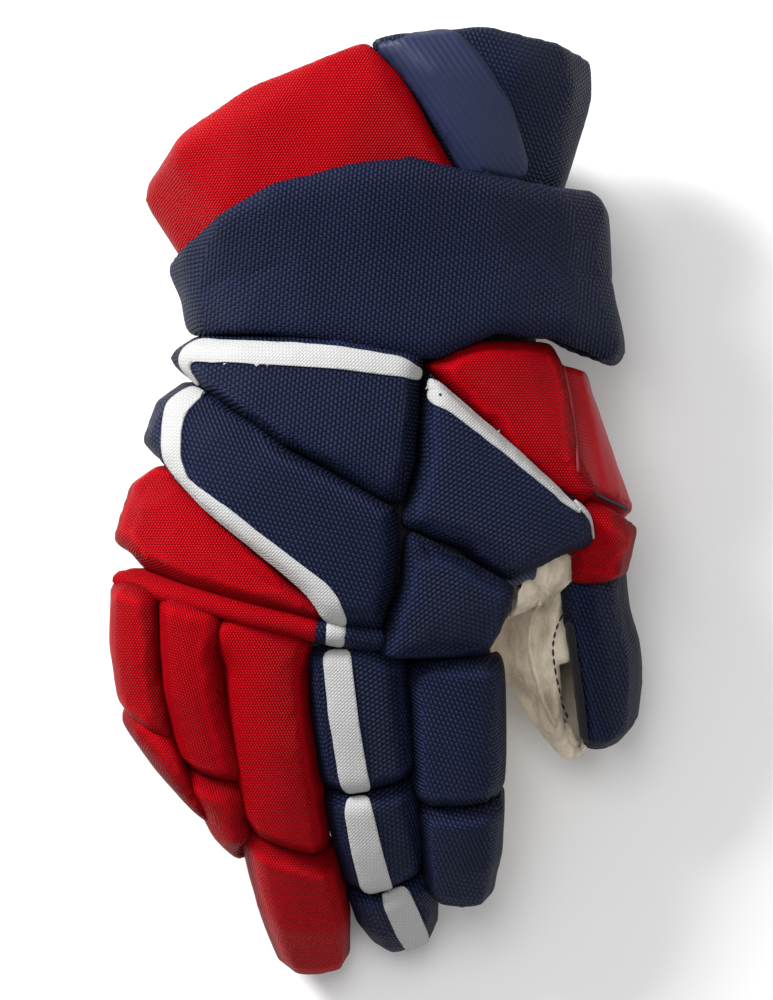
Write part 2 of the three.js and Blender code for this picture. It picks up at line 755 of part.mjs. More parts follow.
const upperRoll = [
  { across: -0.682, along: 0.886 },
  { across: -0.660, along: 1.010 },
  { across: -0.123, along: 1.003 },
  { across: 0.115, along: 0.946 },
  { across: 0.102, along: 0.868 },
  { across: 0.094, along: 0.705 },
  { across: 0.083, along: 0.581 },
  { across: 0.051, along: 0.443 },
  { across: -0.008, along: 0.457 },
  { across: -0.290, along: 0.641 },
  { across: -0.513, along: 0.822 },
  { across: -0.566, along: 0.865 },
];
const upperStripe = [
  { across: -0.558, along: 0.889 },
  { across: -0.542, along: 0.978 },
  { across: -0.521, along: 0.989 },
  { across: -0.123, along: 0.967 },
  { across: 0.102, along: 0.914 },
  { across: 0.097, along: 0.872 },
  { across: -0.123, along: 0.911 },
  { across: -0.499, along: 0.943 },
  { across: -0.510, along: 0.928 },
  { across: -0.526, along: 0.850 },
];
const lowerRoll = [
  { across: -0.687, along: 0.872 },
  { across: -0.566, along: 0.854 },
  { across: -0.513, along: 0.812 },
  { across: -0.290, along: 0.631 },
  { across: -0.008, along: 0.447 },
  { across: 0.032, along: 0.425 },
  { across: 0.040, along: 0.312 },
  { across: 0.035, along: 0.188 },
  { across: 0.005, along: 0.000 },
  { across: -0.097, along: 0.011 },
  { across: -0.172, along: 0.035 },
  { across: -0.223, along: 0.110 },
  { across: -0.523, along: 0.408 },
  { across: -0.674, along: 0.592 },
  { across: -0.784, along: 0.613 },
  { across: -0.746, along: 0.790 },
];
const lowerStripe = [
  { across: -0.550, along: 0.858 },
  { across: -0.515, along: 0.822 },
  { across: -0.529, along: 0.737 },
  { across: -0.534, along: 0.595 },
  { across: -0.513, along: 0.532 },
  { across: -0.150, along: 0.159 },
  { across: -0.118, along: 0.099 },
  { across: -0.099, along: 0.021 },
  { across: -0.161, along: 0.028 },
  { across: -0.180, along: 0.089 },
  { across: -0.231, along: 0.152 },
  { across: -0.539, along: 0.482 },
  { across: -0.577, along: 0.578 },
  { across: -0.577, along: 0.719 },
  { across: -0.566, along: 0.808 },
];
const redWedge = [
  { across: -0.674, along: 0.574 },
  { across: -0.778, along: 0.574 },
  { across: -0.821, along: 0.365 },
  { across: -0.848, along: 0.269 },
  { across: -0.709, along: 0.209 },
  { across: -0.561, along: 0.145 },
  { across: -0.386, along: 0.085 },
  { across: -0.258, along: 0.060 },
  { across: -0.188, along: 0.053 },
  { across: -0.228, along: 0.099 },
  { across: -0.523, along: 0.393 },
];
const thumbSideRoll = [
  { across: 0.123, along: 0.904 },
  { across: 0.333, along: 0.691 },
  { across: 0.513, along: 0.496 },
  { across: 0.561, along: 0.454 },
  { across: 0.588, along: 0.404 },
  { across: 0.601, along: 0.294 },
  { across: 0.507, along: 0.255 },
  { across: 0.467, along: 0.227 },
  { across: 0.378, along: 0.174 },
  { across: 0.239, along: 0.280 },
  { across: 0.070, along: 0.354 },
  { across: 0.048, along: 0.376 },
  { across: 0.062, along: 0.432 },
  { across: 0.097, along: 0.578 },
  { across: 0.107, along: 0.702 },
  { across: 0.115, along: 0.843 },
];
const thumbSideStripe = [
  { across: 0.123, along: 0.879 },
  { across: 0.306, along: 0.698 },
  { across: 0.467, along: 0.510 },
  { across: 0.510, along: 0.397 },
  { across: 0.456, along: 0.443 },
  { across: 0.306, along: 0.613 },
  { across: 0.123, along: 0.804 },
];
const thumbSideTip = [
  { across: 0.510, along: 0.461 },
  { across: 0.558, along: 0.418 },
  { across: 0.596, along: 0.312 },
  { across: 0.564, along: 0.369 },
  { across: 0.515, along: 0.418 },
];
const thumbSideRed = [
  { across: 0.126, along: 0.925 },
  { across: 0.209, along: 0.978 },
  { across: 0.279, along: 1.010 },
  { across: 0.494, along: 1.010 },
  { across: 0.531, along: 0.936 },
  { across: 0.553, along: 0.812 },
  { across: 0.566, along: 0.631 },
  { across: 0.585, along: 0.475 },
  { across: 0.585, along: 0.425 },
  { across: 0.558, along: 0.468 },
  { across: 0.513, along: 0.510 },
  { across: 0.333, along: 0.705 },
];
const indexKnuckle = [
  { across: 0.062, along: 0.333 },
  { across: 0.086, along: 0.344 },
  { across: 0.233, along: 0.255 },
  { across: 0.376, along: 0.152 },
  { across: 0.381, along: 0.128 },
  { across: 0.370, along: 0.057 },
  { across: 0.349, along: -0.021 },
  { across: 0.314, along: -0.096 },
  { across: 0.032, along: -0.096 },
  { across: 0.008, along: -0.064 },
  { across: 0.016, along: -0.021 },
  { across: 0.040, along: 0.099 },
  { across: 0.051, along: 0.181 },
];
const sideSmooth = [
  { across: 0.542, along: 0.928 },
  { across: 0.558, along: 0.812 },
  { across: 0.572, along: 0.631 },
  { across: 0.590, along: 0.475 },
  { across: 0.660, along: 0.447 },
  { across: 0.896, along: 0.347 },
  { across: 0.843, along: 0.737 },
  { across: 0.735, along: 0.928 },
];
const sideLower = [
  { across: 0.590, along: 0.461 },
  { across: 0.604, along: 0.283 },
  { across: 0.633, along: 0.230 },
  { across: 0.641, along: 0.163 },
  { across: 0.816, along: 0.163 },
  { across: 0.896, along: 0.333 },
  { across: 0.660, along: 0.432 },
];

// The thin roll across the knuckles, in its differently coloured lengths.
const knuckleLine = [
  { across: -0.794, along: 0.198 },
  { across: -0.733, along: 0.170 },
  { across: -0.553, along: 0.105 },
  { across: -0.386, along: 0.051 },
  { across: -0.258, along: 0.019 },
  { across: -0.188, along: -0.004 },
  { across: -0.102, along: -0.021 },
  { across: 0.005, along: -0.035 },
];
function knuckleRoll(name, material, from, to) {
  const inside = knuckleLine.map((row) => row.across).filter((across) => across > from && across < to);
  const stations = (grow) => [from - grow / handWidth, ...inside, to + grow / handWidth];
  const form = (grow) => {
    const half = knuckleRollWidth / 2 + grow;
    const high = knuckleRollHeight / 2 + grow;
    const rings = stations(grow).map((across) => {
      const { along } = rowAt(knuckleLine, "across", across);
      return Array.from({ length: 8 }, (_, i) => {
        const angle = (i / 8) * 2 * Math.PI;
        const y = along * handLength + half * Math.sin(angle);
        return onBack(across * handWidth, y, knuckleRollHeight / 2 + high * Math.cos(angle));
      });
    });
    return loft(rings);
  };
  addPiece(name, material, cutBack(form(0).subtract(keepClear)));
  return form(seamGap / 2);
}

backRoll("index_knuckle_pad", navyCloth, indexKnuckle);
const knuckleRolls = [
  knuckleRoll("knuckle_roll_red", redCloth, -0.74, -0.191),
  knuckleRoll("knuckle_roll_navy_inner", navyCloth, -0.187, -0.16),
  knuckleRoll("knuckle_roll_white", whiteCloth, -0.157, -0.106),
  knuckleRoll("knuckle_roll_navy", navyCloth, -0.102, 0.002),
];
placed.push(...knuckleRolls);
backRoll("upper_roll", navyCloth, upperRoll, { stripes: [{ name: "upper_roll_stripe", rows: upperStripe }] });
backRoll("lower_roll", navyCloth, lowerRoll, { stripes: [{ name: "lower_roll_stripe", rows: lowerStripe }] });
backRoll("red_wedge", redCloth, redWedge, { lift: 0.95 });
backRoll("thumb_side_roll", navyCloth, thumbSideRoll, {
  stripes: [
    { name: "thumb_side_stripe", rows: thumbSideStripe },
    { name: "thumb_side_stripe_end", rows: thumbSideTip },
  ],
});
backRoll("thumb_side_red_pad", redCloth, thumbSideRed, { lift: 0.92 });
backRoll("side_panel_smooth", smoothRed, sideSmooth, { lift: 0.85, bevel: padBevel / 3 });
backRoll("side_panel_lower", redCloth, sideLower, { lift: 0.9, bevel: padBevel / 2 });

// A pad's arch over a finger. side: share of the pad's half width. rise: share of its height above the middle.
const padArch = [
  { side: -1, rise: -0.12 },
  { side: -0.98, rise: 0.56 },
  { side: -0.58, rise: 0.94 },
  { side: 0, rise: 1 },
  { side: 0.58, rise: 0.94 },
  { side: 0.98, rise: 0.56 },
  { side: 1, rise: -0.12 },
];

// How a pad rises from its ends. at: share of its length. swell: share of its full section.
const padTaper = [
  { at: 0, swell: 0.86 },
  { at: 0.09, swell: 0.99 },
  { at: 0.5, swell: 1 },
  { at: 0.91, swell: 0.99 },
  { at: 1, swell: 0.86 },
];

// Pads over a finger. from, to: shares of its length, from the knuckle line. left, right: how far it reaches across,
// as shares of the finger's half width. slant: how far the joint at each end leans, as a share of that reach.
// tip: share of its full section at its far end.
function fingerPadPoint(finger, pad, { at, swell }, { side, rise }, grow) {
  const reach = (side < 0 ? pad.left : pad.right) * finger.half;
  const lean = lerp(pad.slant[0], pad.slant[1], at) * side * reach;
  const ends = (2 * at - 1) * grow;
  const distance = rootDepth + lerp(pad.from, pad.to, at) * finger.length + lean + ends;
  const frame = fingerFrame(finger, distance);
  const size = fingerSize(finger, Math.min(1, distance / finger.length));
  const narrowing = finger.half - size.half;
  const rowSwell = at === 1 ? pad.tip : swell;
  const high = (size.top + fingerPadThickness) * rowSwell + grow;
  return place(frame, side * ((reach - narrowing) * rowSwell + grow), rise * high);
}

function fingerPadForm(finger, pad) {
  return (grow) => {
    const upper = (row, column) => fingerPadPoint(finger, pad, padTaper[row], padArch[column], grow);
    const lower = (row, column) => {
      const { at } = padTaper[row];
      const distance = rootDepth + lerp(pad.from, pad.to, at) * finger.length + (2 * at - 1) * grow;
      return upper(row, column).lerp(fingerFrame(finger, distance).origin, 0.6);
    };
    return slab(padTaper.length, padArch.length, upper, lower);
  };
}

// A strip of cloth along a pad. left, right: its edges' places across the pad, at the upper and at the lower end.
function fingerStripe(finger, pad, { left, right }) {
  const arch = padArch.slice(1, 6);
  const rows = [0.03, 0.09, 0.5, 0.91, 0.97];
  const surface = (lift) => (row, column) => {
    const at = rows[row];
    const side = lerp(lerp(left[0], left[1], at), lerp(right[0], right[1], at), column / 2);
    return fingerPadPoint(finger, pad, rowAt(padTaper, "at", at), rowAt(arch, "side", side), lift);
  };
  const strip = slab(rows.length, 3, surface(fitGap + stripeThickness), surface(-stripeThickness));
  return strip.subtract(fingerPadForm(finger, pad)(fitGap));
}

const fingerPads = [
  {
    name: "middle_pad_upper",
    material: navyCloth,
    finger: digits.middle,
    stripe: { name: "middle_stripe_upper", left: [-0.53, -0.5], right: [-0.04, 0] },
    pad: { from: 0.034, to: 0.375, left: 1.36, right: 1.55, slant: [0.03, 0], tip: 0.9 },
  },
  {
    name: "middle_pad_mid",
    material: navyCloth,
    finger: digits.middle,
    stripe: { name: "middle_stripe_mid", left: [-0.5, -0.6], right: [-0.04, 0] },
    pad: { from: 0.383, to: 0.645, left: 1.36, right: 1.38, slant: [0, -0.1], tip: 0.9 },
  },
  {
    name: "middle_pad_lower",
    material: navyCloth,
    finger: digits.middle,
    stripe: { name: "middle_stripe_lower", left: [-0.25, -0.1], right: [0.3, 0.5] },
    pad: { from: 0.653, to: 0.905, left: 1.42, right: 1.3, slant: [-0.1, 0], tip: 0.66 },
  },
  {
    name: "index_pad_upper",
    material: navyCloth,
    finger: digits.index,
    pad: { from: 0.094, to: 0.5, left: 1.5, right: 1.28, slant: [0, -0.05], tip: 0.9 },
  },
  {
    name: "index_pad_lower",
    material: navyCloth,
    finger: digits.index,
    pad: { from: 0.51, to: 0.87, left: 1.35, right: 1.26, slant: [-0.05, 0.1], tip: 0.7 },
  },
  {
    name: "ring_pad_upper",
    material: redCloth,
    finger: digits.ring,
    pad: { from: -0.018, to: 0.5, left: 1.24, right: 1.26, slant: [0.18, 0.5], tip: 0.9 },
  },
  {
    name: "ring_pad_lower",
    material: redCloth,
    finger: digits.ring,
    pad: { from: 0.506, to: 0.91, left: 1.3, right: 1.42, slant: [0.5, 0.15], tip: 0.68 },
  },
  {
    name: "pinky_pad_upper",
    material: redCloth,
    finger: digits.pinky,
    pad: { from: -0.065, to: 0.45, left: 1.2, right: 1.35, slant: [0.25, 0.6], tip: 0.9 },
  },
  {
    name: "pinky_pad_lower",
    material: redCloth,
    finger: digits.pinky,
    pad: { from: 0.458, to: 0.87, left: 1.2, right: 1.45, slant: [0.6, 0.2], tip: 0.62 },
  },
];
for (const { name, material, finger, stripe, pad } of fingerPads) {
  const strips = stripe ? [{ name: stripe.name, made: fingerStripe(finger, pad, stripe) }] : [];
  addPad(name, material, fingerPadForm(finger, pad), strips);
}

// The roll along the outside of the little finger. side: share of its width, outwards.
// rise: share of the finger pads' height.
const sideRollArch = [
  { side: 0.05, rise: 0.8 },
  { side: 0.4, rise: 0.85 },
  { side: 0.8, rise: 0.66 },
  { side: 1, rise: 0.3 },
  { side: 1, rise: -0.1 },
  { side: 0.7, rise: -0.42 },
  { side: 0.2, rise: -0.5 },
];
function sideRoll(name, { from, to, slant, tip, narrow }) {
  const finger = digits.pinky;
  const height = fingerDepth / 2 + fingerPadThickness;
  const inner = 0.58 * pinkyWidth;
  const point = (row, column, across, tall, grow) => {
    const { at, swell } = padTaper[row];
    const { side, rise } = sideRollArch[column];
    const rowSwell = at === 1 ? tip : swell;
    const lean = -lerp(slant[0], slant[1], at) * side * sideRollWidth;
    const distance = rootDepth + lerp(from, to, at) * finger.length + lean + (2 * at - 1) * grow;
    const out = inner + across * (side * sideRollWidth * rowSwell * lerp(1, narrow, at) + grow);
    return place(fingerFrame(finger, distance), -out, rise * tall * (height * rowSwell + grow));
  };
  const form = (grow) =>
    slab(
      padTaper.length,
      sideRollArch.length,
      (row, column) => point(row, column, 1, 1, grow),
      (row, column) => point(row, column, 0, 0.7, grow),
    );
  addPad(name, redCloth, form);
}
sideRoll("pinky_side_roll_upper", { from: -0.11, to: 0.33, slant: [0.2, 0.75], tip: 0.9, narrow: 0.95 });
sideRoll("pinky_side_roll_lower", { from: 0.338, to: 0.6, slant: [0.75, 0.5], tip: 0.6, narrow: 0.1 });

// The thumb's outer pad and the guard at its tip. from, to: shares of the thumb's length. arch: like a finger's.
const thumbArch = [
  { side: -0.9, rise: 0.3 },
  { side: -0.96, rise: 0.5 },
  { side: -0.86, rise: 0.78 },
  { side: -0.5, rise: 0.97 },
  { side: 0, rise: 1 },
  { side: 0.6, rise: 0.92 },
  { side: 0.96, rise: 0.58 },
  { side: 1, rise: 0.15 },
];
function thumbPad(name, { from, to, tip, thickness }) {
  const form = (grow) => {
    const point = (row, column, depth) => {
      const { at, swell } = padTaper[row];
      const { side, rise } = thumbArch[column];
      const rowSwell = at === 1 ? tip : swell;
      const share = lerp(from, to, at) + ((2 * at - 1) * grow) / thumbLength;
      const size = thumbSize(Math.min(share, 1));
      const out = side * ((size.half + 0.3 * thickness) * rowSwell + grow);
      const frame = thumbFrame(share);
      return place(frame, out, rise * ((size.top + thickness) * rowSwell + grow)).lerp(frame.origin, depth);
    };
    return slab(
      padTaper.length,
      thumbArch.length,
      (row, column) => point(row, column, 0),
      (row, column) => point(row, column, 0.6),
    );
  };
  addPad(name, navyCloth, form);
}
thumbPad("thumb_pad", { from: 0.43, to: 0.965, tip: 0.74, thickness: thumbPadThickness });

// The cord along the web between the index finger and the thumb, from the index knuckle's pad to the thumb's.
const webBinding = [
  { across: 0.39, along: 0.125 },
  { across: 0.416, along: 0.163 },
  { across: 0.446, along: 0.188 },
  { across: 0.475, along: 0.203 },
  { across: 0.5, along: 0.2 },
];
const cordPath = new THREE.CatmullRomCurve3(
  webBinding.map(({ across, along }) => onBack(across * handWidth, along * handLength, bindingWidth / 4)),
);
const cordShape = new THREE.Shape().absellipse(0, 0, bindingWidth / 2, bindingWidth / 2, 0, 2 * Math.PI);
const cord = new THREE.ExtrudeGeometry(cordShape, { steps: 8, curveSegments: 4, extrudePath: cordPath });
addPiece("thumb_web_cord", navyCord, cutBack(solid(cord).subtract(keepClear)));

// The origin is the middle of the underside.
const box = new THREE.Box3().setFromObject(glove);
glove.position.set(-(box.min.x + box.max.x) / 2, -(box.min.y + box.max.y) / 2, -box.min.z);

export default glove;
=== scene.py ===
import math

import bmesh
import bpy
import numpy as np
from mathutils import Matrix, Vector, noise
from mathutils.bvhtree import BVHTree
from mathutils.kdtree import KDTree


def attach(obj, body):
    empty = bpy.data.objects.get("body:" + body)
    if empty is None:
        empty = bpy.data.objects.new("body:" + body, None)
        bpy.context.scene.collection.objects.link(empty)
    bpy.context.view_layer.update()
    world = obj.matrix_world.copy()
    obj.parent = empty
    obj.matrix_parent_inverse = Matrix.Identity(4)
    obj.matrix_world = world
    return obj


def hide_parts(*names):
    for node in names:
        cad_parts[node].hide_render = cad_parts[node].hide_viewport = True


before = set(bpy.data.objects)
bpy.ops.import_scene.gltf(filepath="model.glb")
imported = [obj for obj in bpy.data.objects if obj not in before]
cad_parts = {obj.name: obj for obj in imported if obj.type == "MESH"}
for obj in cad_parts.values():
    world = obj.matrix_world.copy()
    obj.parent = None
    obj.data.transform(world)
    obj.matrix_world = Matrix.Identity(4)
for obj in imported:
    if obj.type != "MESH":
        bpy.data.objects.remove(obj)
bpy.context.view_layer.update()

mm = 0.001


# Shader maths: sockets that can be added, multiplied and compared.
class Value:
    def __init__(self, tree, socket):
        self.tree = tree
        self.socket = socket

    def join(self, operation, *others):
        node = self.tree.nodes.new("ShaderNodeMath")
        node.operation = operation
        for slot, item in zip(node.inputs, (self, *others)):
            if isinstance(item, Value):
                self.tree.links.new(item.socket, slot)
            else:
                slot.default_value = item
        return Value(self.tree, node.outputs[0])

    def __add__(self, other):
        return self.join("ADD", other)

    def __sub__(self, other):
        return self.join("SUBTRACT", other)

    def __mul__(self, other):
        return self.join("MULTIPLY", other)

    def __truediv__(self, other):
        return self.join("DIVIDE", other)

    def __gt__(self, other):
        return self.join("GREATER_THAN", other)

    def clamp(self, low=0.0, high=1.0):
        return self.join("MAXIMUM", low).join("MINIMUM", high)

    # Over a value from 0 to 1: up to 1 in the middle, 0 at both ends.
    def arch(self):
        return self * (self * -1 + 1) * 4


# A material with its Principled shader, and the patterns that the finishes below are made of.
class Cloth:
    def __init__(self, name):
        self.material = bpy.data.materials.new(name)
        self.material.use_nodes = True
        self.tree = self.material.node_tree
        self.shader = self.tree.nodes["Principled BSDF"]

    def node(self, kind, inputs=None, output=0, **settings):
        node = self.tree.nodes.new(kind)
        for key, item in settings.items():
            setattr(node, key, item)
        for key, item in (inputs or {}).items():
            if isinstance(item, Value):
                self.tree.links.new(item.socket, node.inputs[key])
            else:
                node.inputs[key].default_value = item
        return Value(self.tree, node.outputs[output])

    def link(self, value, name):
        self.tree.links.new(value.socket, self.shader.inputs[name])

    def place(self):
        return self.node("ShaderNodeTexCoord", output="Object")

    def parts(self, vector):
        return [self.node("ShaderNodeSeparateXYZ", {"Vector": vector}, axis) for axis in range(3)]

    # Flat coordinates in millimetres on the side of a box that the surface faces most.
    # Where it faces the top and a side nearly alike, the top wins.
    def boxed(self):
        topFirst = 1.15
        x, y, z = [part / mm for part in self.parts(self.place())]
        normal = self.node("ShaderNodeNewGeometry", output="Normal")
        nx, ny, nz = [part.join("ABSOLUTE") for part in self.parts(normal)]
        facesX = nx > ny.join("MAXIMUM", nz * topFirst)
        facesY = (ny > nz * topFirst) * (facesX * -1 + 1)
        across = x + (y - x) * facesX
        along = y + (z - y) * (facesX.join("MAXIMUM", facesY))
        return across, along

    # A value painted on the mesh. It is 0 where the mesh has none.
    def painted(self, name):
        return self.node("ShaderNodeAttribute", output="Fac", attribute_name=name)

    def noise(self, scale, detail=3.0, roughness=0.5, stretch=None):
        where = self.place()
        if stretch:
            where = self.node("ShaderNodeMapping", {"Vector": where, "Scale": stretch})
        inputs = {"Vector": where, "Scale": scale, "Detail": detail, "Roughness": roughness}
        return self.node("ShaderNodeTexNoise", inputs, "Fac")

    # The height of a weave of staggered short threads, from 0 in the gaps to 1 on the threads.
    # pitch: width and length of a thread in millimetres. angle: the threads' direction, in degrees.
    # wander: how far the threads stray, in millimetres.
    def weave(self, pitch, angle, wander):
        sideFullness, endFullness = 0.7, 0.45
        across, along = self.boxed()
        drift = (self.noise(55.0, 2.0) - 0.5) * wander
        across = across + drift
        along = along - drift
        wide, long = pitch
        c, s = math.cos(math.radians(angle)), math.sin(math.radians(angle))
        threads = (across * s - along * c) / wide
        lengths = (across * c + along * s) / long + threads.join("FLOOR") * 0.5
        side = threads.join("FRACT").arch().join("POWER", sideFullness)
        return side * lengths.join("FRACT").arch().join("POWER", endFullness)

    # Straight ribs that follow each other in a direction across the glove, from 0 in their grooves to 1.
    def ribs(self, across, pitch):
        x, y, z = self.parts(self.place())
        where = x * across[0] + y * across[1]
        return (where * (2 * math.pi / (pitch * mm))).join("SINE") * 0.5 + 0.5

    # A colour mix node has its factor at socket 0, its colours at 6 and 7, and the mixed colour at output 2.
    def colours(self, factor, low, high):
        sockets = {0: factor, 6: (*low, 1), 7: (*high, 1)}
        return self.node("ShaderNodeMix", sockets, 2, data_type="RGBA")

    def bump(self, height, distance, strength=1.0):
        inputs = {"Height": height, "Distance": distance * mm, "Strength": strength}
        self.link(self.node("ShaderNodeBump", inputs), "Normal")


# Woven cloth, with painted shade in the gaps between its threads; its look gives how dark that shade is.
# depth: of the gaps, in millimetres.
# Its colour gets painted shade on a pad's sloping rim and a painted highlight along the ridge inside the rim.
weaveShade = {"rim": -0.34, "ridge": 0.42, "patches": 0.35, "base": 0.78}


def wovenCloth(name, look, angle):
    cloth = Cloth(name)
    height = cloth.weave(look["pitch"], angle, look["wander"])
    patches = cloth.noise(28.0, 3.0) * weaveShade["patches"]
    # Painted shade on a pad's sloping rim and a painted highlight along the ridge inside it.
    paintedSlopeLight = cloth.painted("rim") * weaveShade["rim"] + cloth.painted("ridge") * weaveShade["ridge"]
    base = weaveShade["base"] - look["gapShade"]
    # Painted shade darkens the gaps between the threads.
    shade = (height * look["gapShade"] + patches + paintedSlopeLight + base).clamp()
    cloth.link(cloth.colours(shade, look["dark"], look["light"]), "Base Color")
    cloth.link(height * -0.12 + look["roughness"], "Roughness")
    fuzz = cloth.noise(1900.0, 2.0) * 0.18
    cloth.bump(height + fuzz, look["depth"])
    cloth.shader.inputs["Sheen Weight"].default_value = look["sheen"]
    cloth.shader.inputs["Sheen Roughness"].default_value = 0.45
    cloth.shader.inputs["Specular IOR Level"].default_value = look["shine"]
    return cloth.material


navyLook = {
    "dark": (0.0006, 0.0009, 0.003),
    "light": (0.0108, 0.0158, 0.049),
    "pitch": (1.45, 2.0),
    "wander": 0.8,
    "gapShade": 0.85,
    "roughness": 0.6,
    "depth": 0.8,
    "sheen": 0.0,
    "shine": 0.1,
}
redLook = {
    "dark": (0.07, 0.0002, 0.001),
    "light": (0.42, 0.0006, 0.005),
    "pitch": (0.9, 1.15),
    "wander": 0.5,
    "gapShade": 0.7,
    "roughness": 0.5,
    "depth": 0.5,
    "sheen": 0.0,
    "shine": 0.05,
}
whiteLook = {
    "dark": (0.2, 0.205, 0.21),
    "light": (0.41, 0.41, 0.405),
    "pitch": (0.9, 1.7),
    "wander": 0.6,
    "gapShade": 0.35,
    "roughness": 0.75,
    "depth": 0.2,
    "sheen": 0.05,
    "shine": 0.3,
}
liningLook = {
    "dark": (0.002, 0.002, 0.003),
    "light": (0.016, 0.016, 0.02),
    "pitch": (1.0, 1.8),
    "wander": 0.8,
    "gapShade": 0.4,
    "roughness": 0.92,
    "depth": 0.25,
    "sheen": 0.1,
    "shine": 0.2,
}
navyCloth = wovenCloth("navyCloth", navyLook, 112)
navySteep = wovenCloth("navySteep", navyLook, 84)
navySlanted = wovenCloth("navySlanted", navyLook, 38)
redCloth = wovenCloth("redCloth", redLook, 58)
redSteep = wovenCloth("redSteep", redLook, 105)
whiteCloth = wovenCloth("whiteCloth", whiteLook, 45)
blackLining = wovenCloth("blackLining", liningLook, 70)


# Smooth coated cloth with a fine grain, and a little painted shade in the grooves of its ribs.
# ribs: the direction that they follow each other in, and their pitch in millimetres.
def coatedCloth(name, dark, light, roughness, ribs):
    cloth = Cloth(name)
    patches = cloth.noise(35.0, 4.0)
    rib = cloth.ribs(ribs["across"], ribs["pitch"])
    # The grooves between the ribs are a little darker: painted shade.
    cloth.link(cloth.colours((patches * 0.8 + rib * 0.2).clamp(), dark, light), "Base Color")
    grain = cloth.noise(2200.0, 2.0)
    cloth.link(grain * 0.12 + roughness, "Roughness")
    cloth.bump(grain * 0.3 + rib, ribs["height"])
    cloth.shader.inputs["Specular IOR Level"].default_value = 0.25
    return cloth.material


stripRibs = {"across": (0.82, 0.57), "pitch": 2.2, "height": 0.12}
panelRibs = {"across": (0.3, 0.95), "pitch": 1.2, "height": 0.05}
smoothNavy = coatedCloth("smoothNavy", (0.008, 0.012, 0.035), (0.018, 0.026, 0.07), 0.45, stripRibs)
smoothRed = coatedCloth("smoothRed", (0.22, 0.0008, 0.004), (0.4, 0.001, 0.008), 0.42, panelRibs)


# Napped leather of the palm, with soft creases darkened by painted shade.
leatherLook = {
    "dark": (0.2, 0.15, 0.1),
    "light": (0.9, 0.79, 0.62),
    "roughness": 0.86,
    "depth": 0.55,
    "creaseStretch": (1.0, 0.35, 1.0),
    "creaseSharpness": 9,
}


def nappedLeather(name, look):
    cloth = Cloth(name)
    blotches = cloth.noise(45.0, 5.0, 0.6)
    nap = cloth.noise(1500.0, 3.0, 0.6)
    creases = cloth.noise(95.0, 4.0, 0.55, look["creaseStretch"])
    fold = ((creases - 0.5).join("ABSOLUTE") * -look["creaseSharpness"] + 1).clamp()
    # Painted shade darkens the creases.
    shade = (blotches * 1.1 + nap * 0.35 - fold * 0.25 - 0.05).clamp()
    cloth.link(cloth.colours(shade, look["dark"], look["light"]), "Base Color")
    cloth.link(nap * 0.08 + look["roughness"], "Roughness")
    cloth.bump(nap * 0.12 - fold * 0.5 + blotches * 0.7, look["depth"])
    cloth.shader.inputs["Sheen Weight"].default_value = 0.25
    cloth.shader.inputs["Sheen Roughness"].default_value = 0.5
    cloth.shader.inputs["Specular IOR Level"].default_value = 0.2
    return cloth.material


palmLeather = nappedLeather("palmLeather", leatherLook)


# Cord with ribs across it, and painted shade in the grooves between them.
def ribbedCord(name, along, pitch):
    cloth = Cloth(name)
    rib = cloth.ribs(along, pitch)
    # Painted shade darkens the grooves between the ribs.
    cloth.link(cloth.colours(rib, (0.004, 0.006, 0.02), (0.03, 0.042, 0.11)), "Base Color")
    cloth.link(rib * -0.15 + 0.7, "Roughness")
    cloth.bump(rib, 0.45)
    return cloth.material


navyCord = ribbedCord("navyCord", (0.75, 0.66), 1.5)


def threadMaterial(name, dark, light):
    cloth = Cloth(name)
    strands = cloth.noise(3000.0, 2.0)
    cloth.link(cloth.colours(strands, dark, light), "Base Color")
    cloth.link(strands * 0.2 + 0.55, "Roughness")
    cloth.bump(strands, 0.08)
    return cloth.material


darkThread = threadMaterial("darkThread", (0.006, 0.005, 0.005), (0.03, 0.028, 0.03))
redThread = threadMaterial("redThread", (0.1, 0.001, 0.004), (0.3, 0.004, 0.012))
print("materials made")


# Places are given as pixels of the photograph. A pixel is 0.365 mm on the glove, and the middle of the
# knuckle line is the reference point.
pixel = 0.365 * mm
referencePixel = (386, 628)
referencePlace = (3.58 * mm, -44.14 * mm)


def spotAt(x, y):
    return Vector((referencePlace[0] + (x - referencePixel[0]) * pixel,
                   referencePlace[1] - (y - referencePixel[1]) * pixel))


# Mesh work. A piece starts as the closed mesh of one or more parts of the frame.
def newObject(name, bm, material):
    mesh = bpy.data.meshes.new(name)
    bm.to_mesh(mesh)
    bm.free()
    for face in mesh.polygons:
        face.use_smooth = True
    mesh.materials.append(material)
    piece = bpy.data.objects.new(name, mesh)
    bpy.context.scene.collection.objects.link(piece)
    return piece


def meshOf(*nodes):
    bm = bmesh.new()
    for node in nodes:
        bm.from_mesh(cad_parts[node].data)
    bmesh.ops.remove_doubles(bm, verts=bm.verts[:], dist=0.01 * mm)
    bmesh.ops.recalc_face_normals(bm, faces=bm.faces[:])
    return bm


def applied(piece):
    graph = bpy.context.evaluated_depsgraph_get()
    done = bpy.data.meshes.new_from_object(piece.evaluated_get(graph), depsgraph=graph)
    piece.modifiers.clear()
    old = piece.data
    piece.data = done
    bpy.data.meshes.remove(old)
    for face in piece.data.polygons:
        face.use_smooth = True
    return piece


def evenMesh(piece, voxel):
    even = piece.modifiers.new("even", "REMESH")
    even.mode = "VOXEL"
    even.voxel_size = voxel * mm
    return applied(piece)


def refined(piece):
    finer = piece.modifiers.new("finer", "SUBSURF")
    finer.levels = 1
    finer.render_levels = 1
    return applied(piece)


